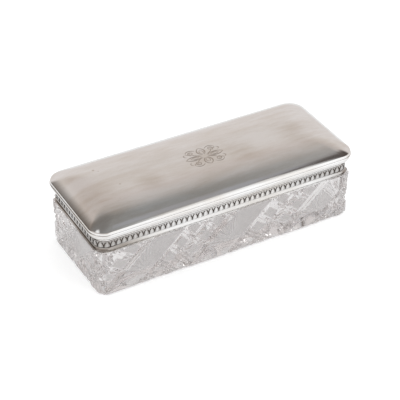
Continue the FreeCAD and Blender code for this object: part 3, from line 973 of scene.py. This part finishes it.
for name, replaced, length, count, turn, shift, out in STRIPS:
    strip = leaf_strip(name, length, count, slices=count)
    carry = Matrix.Rotation(math.radians(turn), 4, "Z") @ Matrix.Translation((shift, -out, 0))
    settle(strip, carry @ STAND_UP)
    friezes.append((strip, replaced))
print("straight strips:", len(friezes))

# %% Corner strips
BEND = 10.2 * MM
CORNER_LEAVES, CORNER_SLICES = 3, 9
corners = []
for turn, side_x, side_y in ((0, 1, -1), (90, 1, 1), (180, -1, 1), (270, -1, -1)):
    corner = leaf_strip("leaf_corner", BEND * math.pi / 2, CORNER_LEAVES, end_darts=1, slices=CORNER_SLICES)
    for v in corner.data.vertices:
        angle = v.co.x / BEND + math.pi / 4
        radius = BEND + v.co.z
        v.co = (radius * math.sin(angle), -radius * math.cos(angle), STRIP_FOOT + v.co.y)
    bend_middle = Matrix.Translation((side_x * STRAIGHT_HALF[0], side_y * STRAIGHT_HALF[1], 0))
    settle(corner, bend_middle @ Matrix.Rotation(math.radians(turn), 4, "Z"))
    corners.append(corner)
friezes.append((joined(corners, "leaf_corners"), "frieze_corners"))
for model in (leaf, dart):
    bpy.data.objects.remove(model)
for strip, replaced in friezes:
    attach(strip, "base")
    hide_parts(replaced)
    print(strip.name, "faces:", len(strip.data.polygons))

# %% [markdown]
# ## The collar: the strip's finish
#
# Rolled silver, polished only where a cloth touches it: bright on the leaves, brown-black in the ground. It
# is the same silver, a little rougher, with the ground's mark turning it dark.

# %% The strip's finish
# The mark also carries the painted shade along the foot near the strip's ends, and the darkening towards the
# ends.
oxidised_and_shaded = sterling("rolled_silver_with_dark_ground_and_painted_shade", mark="ground", dark="#544b45", polish=(0.12, 0.22))
for strip, replaced in friezes:
    dress(strip.data, oxidised_and_shaded)
print("leaf strips:", len(friezes))

# %% [markdown]
# ## The lid: a cushion of sheet silver
#
# The lid's top was raised from one sheet: upright at the rim, rolled over, and almost flat in the middle. A
# rounded sheet is extruded ring by ring. Each end of a ring is drawn in about its own point on the lid's
# middle line, so the corners tighten as they climb. Many thin rings keep the mirror free of facets, and
# those in the middle lie close enough to be engraved.

# %% The dome's rings
DOME_HALF_X, DOME_HALF_Y, DOME_CORNER = 126.3 * MM, 50.8 * MM, 14.8 * MM
DOME_FOOT, DOME_EDGE, DOME_ROLL = 63.3 * MM, 1.8 * MM, 1.5 * MM
CROWN_RISE, CROWN_FULLNESS = 9.38 * MM, 4
ORNAMENT_HALF = 16.2 * MM
RING_STEP, LAST_RING = 0.3 * MM, 0.45 * MM
RING_EASE = 1.5
ROLL_RINGS, SLOPE_RINGS = 8, 26
spine = DOME_HALF_X - DOME_HALF_Y
roll_share = DOME_ROLL / DOME_HALF_Y
roll_turn = math.pi / 2 - math.atan(CROWN_FULLNESS * CROWN_RISE / DOME_HALF_Y)
roll_foot = DOME_EDGE - DOME_ROLL * math.tan(roll_turn / 2)
rings = [(1, 0)]
for k in range(ROLL_RINGS + 1):
    rolled = roll_turn * k / ROLL_RINGS
    rings.append((1 - roll_share * (1 - math.cos(rolled)), roll_foot + DOME_ROLL * math.sin(rolled)))
roll_width = rings[-1][0]
slope_run = roll_width - ORNAMENT_HALF / DOME_HALF_Y
widths = [roll_width - slope_run * (k / SLOPE_RINGS) ** RING_EASE for k in range(1, SLOPE_RINGS + 1)]
while widths[-1] * DOME_HALF_Y > LAST_RING:
    widths.append(widths[-1] - RING_STEP / DOME_HALF_Y)
rings += [(width, DOME_EDGE + CROWN_RISE * (1 - width ** CROWN_FULLNESS)) for width in widths]
print("rings:", len(rings), "crown: %.2f mm" % (rings[-1][1] / MM))

# %% Raise the dome
DOME_STEPS = 16


def chosen(piece):
    """The numbers of the points that are selected now."""
    mesh = bmesh.from_edit_mesh(piece.data)
    mesh.verts.index_update()
    return {v.index for v in mesh.verts if v.select}


dome = start("silver_dome", 2 * DOME_HALF_X, 2 * DOME_HALF_Y, (0, 0, DOME_FOOT))
every_point()
bpy.ops.mesh.bevel(offset=DOME_CORNER, affect="VERTICES", segments=DOME_STEPS)
for x in (-spine, spine):
    cut_all((x, 0, 0), (1, 0, 0))
pick(dome, "FACE", lambda m, f: True)
for (before, low), (after, high) in zip(rings, rings[1:]):
    bpy.ops.mesh.extrude_region_move(TRANSFORM_OT_translate={"value": (0, 0, high - low)})
    ring_points = chosen(dome)
    shrink = after / before
    for side in (-1, 1):
        pick(dome, "VERT", lambda m, v: v.index in ring_points and m.x * side > 0)
        bpy.ops.transform.resize(value=(shrink, shrink, 1), center_override=(side * spine, 0, 0))
    pick(dome, "FACE", lambda m, f: all(v.index in ring_points for v in f.verts))
pick(dome, "FACE", lambda m, f: abs(m.z - DOME_FOOT) < HAIR)
bpy.ops.mesh.delete(type="FACE")
leave_edit()
print("dome faces:", len(dome.data.polygons))

# %% The sheet's thickness
SHEET = 0.9 * MM
wall = dome.modifiers.new("sheet", "SOLIDIFY")
wall.thickness = SHEET
wall.offset = -1
only(dome)
bpy.ops.object.modifier_apply(modifier=wall.name)
edit(dome)
pick(dome, "VERT", lambda m, v: m.z < DOME_FOOT)
bpy.ops.transform.resize(value=(1, 1, 0), center_override=(0, 0, DOME_FOOT))
leave_edit()
print("dome faces with the inside:", len(dome.data.polygons))

# %% [markdown]
# ## The lid: an engraved ornament
#
# A plain leaf-and-scroll ornament is engraved in the middle of the lid, the same in all four quarters. The
# engraver's lines swell and taper. One quarter is drawn as curves and mirrored; the points of the dome
# that lie on a line are pushed down in passes, deepest along its middle, and marked for the finish.

# %% Draw the ornament
ORNAMENT_MIDDLE = Vector((1 * MM, -2 * MM, 0))
LINE_STEPS, SCROLL_STEPS = 60, 180
THIN_END, SCROLL_TAPER = 0.45, 0.5
CURVES = (((0, 12.6), (5.0, 9.6), (4.2, 5.2), (0.9, 2.4), 0.50),
          ((0, 9.2), (2.6, 7.4), (2.2, 4.8), (0, 3.2), 0.32),
          ((17.8, 0), (13.6, 3.6), (8.2, 3.4), (3.2, 0.6), 0.50),
          ((13.6, 0), (11.0, 1.8), (8.0, 1.8), (5.6, 0), 0.32),
          ((2.4, 1.8), (6.0, 2.4), (8.6, 4.2), (9.6, 6.6), 0.42),
          ((4.8, 9.8), (7.6, 13.4), (12.4, 13.2), (13.8, 9.8), 0.42),
          ((13.8, 9.8), (14.6, 7.6), (12.0, 6.6), (11.6, 8.6), 0.30),
          ((15.2, 4.4), (17.6, 5.4), (17.4, 8.2), (15.2, 8.2), 0.36))
SCROLL = (9.6, 8.2, 2.6, 0.7, -70, 560, 0.40)


def curve_points(*pulls):
    """Points along a curve drawn from the first of four points to the last, pulled towards the others."""
    for k in range(LINE_STEPS + 1):
        t = k / LINE_STEPS
        parts = ((1 - t) ** 3, 3 * t * (1 - t) ** 2, 3 * t * t * (1 - t), t ** 3)
        yield t, *(sum(part * pull[axis] for part, pull in zip(parts, pulls)) for axis in (0, 1))


strokes = []
for *shape, weight in CURVES:
    strokes += [(x, y, weight * (THIN_END + (1 - THIN_END) * math.sin(math.pi * t)))
                for t, x, y in curve_points(*shape)]
eye_x, eye_y, wide, tight, first_angle, winding, weight = SCROLL
for k in range(SCROLL_STEPS + 1):
    t = k / SCROLL_STEPS
    angle, radius = math.radians(first_angle + winding * t), wide + (tight - wide) * t
    strokes.append((eye_x + radius * math.cos(angle), eye_y + radius * math.sin(angle),
                    weight * (1 - SCROLL_TAPER * t)))
strokes = [(sx * x, sy * y, w) for x, y, w in strokes for sx in (-1, 1) for sy in (-1, 1)]
lines = KDTree(len(strokes))
for number, (x, y, w) in enumerate(strokes):
    lines.insert(ORNAMENT_MIDDLE + Vector((x, y, 0)) * MM, number)
lines.balance()
print("points drawn:", len(strokes))

# %% Engrave it
PATCH_HALF = 19.6 * MM
PATCH_LINES = 130
ENGRAVED_DEPTHS = ((1.0, 0.04 * MM), (0.75, 0.05 * MM), (0.45, 0.06 * MM))
MARK_REACH = 1.3
DOME_ANGLE = math.radians(40)
top = DOME_FOOT + DOME_EDGE + CROWN_RISE - SHEET / 2


def from_line(m):
    """How far a point is from the middle of the nearest engraved line, in half widths of that line."""
    number, gap = lines.find(Vector((m.x, m.y, 0)))[1:]
    return gap / (strokes[number][2] * MM)


def in_patch(m):
    """True on the outside of the dome, in the field of the ornament."""
    return m.z > top and abs(m.x) < PATCH_HALF and abs(m.y) < ORNAMENT_HALF


edit(dome)
for x in (-PATCH_HALF, PATCH_HALF):
    pick(dome, "FACE", lambda m, f: m.z > top and abs(m.x) < spine)
    cut((x, 0, 0), (1, 0, 0))
pick(dome, "EDGE", lambda m, e: m.z > top and abs(m.x) < TINY and abs(m.y) < ORNAMENT_HALF + RING_STEP
     and abs(e.verts[0].co.x - e.verts[1].co.x) > PATCH_HALF)
bpy.ops.mesh.subdivide(number_cuts=PATCH_LINES)
bpy.ops.mesh.select_mode(type="VERT")
distances = {v.index: from_line(v.co) for v in bmesh.from_edit_mesh(dome.data).verts if in_patch(v.co)}
for limit, depth in ENGRAVED_DEPTHS:
    deepest = pick(dome, "VERT", lambda m, v: distances.get(v.index, math.inf) < limit)
    bpy.ops.transform.translate(value=(0, 0, -depth))
leave_edit()
engraved = dome.data.attributes.new("engraved", "FLOAT", "POINT")
for number, distance in distances.items():
    engraved.data[number].value = max(0, min(1, MARK_REACH - distance))
only(dome)
bpy.ops.object.shade_smooth_by_angle(angle=DOME_ANGLE)
print("deepest points:", deepest, "dome triangles:", sum(len(p.vertices) - 2 for p in dome.data.polygons))

# %% [markdown]
# ## The lid: its finish
#
# The lid is the silver that hands touch most. The wiping marks ripple its mirror by a hundredth of a
# millimetre, the engraved lines are dull, and a few wide stains and three small specks lie on its top.

# %% The lid's finish
STREAK_HEIGHT = 0.012 * MM
LID_STAINS = ((-106, -24, 74, 36, 0.45), (32, -10, 74, 24, 0.36), (-57, -15, 74, 18, 0.36),
              (92, -8, 74, 28, 0.35), (2, -4, 74, 22, 0.3), (-92.1, 25.1, 74, 1.6, 1.0),
              (-81.2, -4.5, 74, 1.5, 1.0), (-89, 21.5, 74, 1.0, 0.9))
lid_silver = sterling("raised_sterling_silver", mark="engraved", streaks=STREAK_HEIGHT, dark_patches=LID_STAINS)
dress(dome.data, lid_silver)
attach(dome, "lid")
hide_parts("lid_dome")
print("dome dressed in", lid_silver.name)

# %% [markdown]
# ## The plaster bed
#
# Fine casting plaster beds the collar on the neck of the glass. It is matt and off-white, and shows only
# through the glass. Little light finds its way there, so the plaster gives off a little of its own.

# %% Plaster
PLASTER_LOOK = {"Base Color": ink("#e6e6e6"), "Roughness": 0.9, "Emission Color": ink("#d6d6d8"),
                "Emission Strength": 0.35}
plaster = bpy.data.materials.new("fine_casting_plaster")
plaster.use_nodes = True
for socket, value in PLASTER_LOOK.items():
    plaster.node_tree.nodes["Principled BSDF"].inputs[socket].default_value = value
dress(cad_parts["plaster_bed"].data, plaster)
print("bed dressed in", plaster.name)
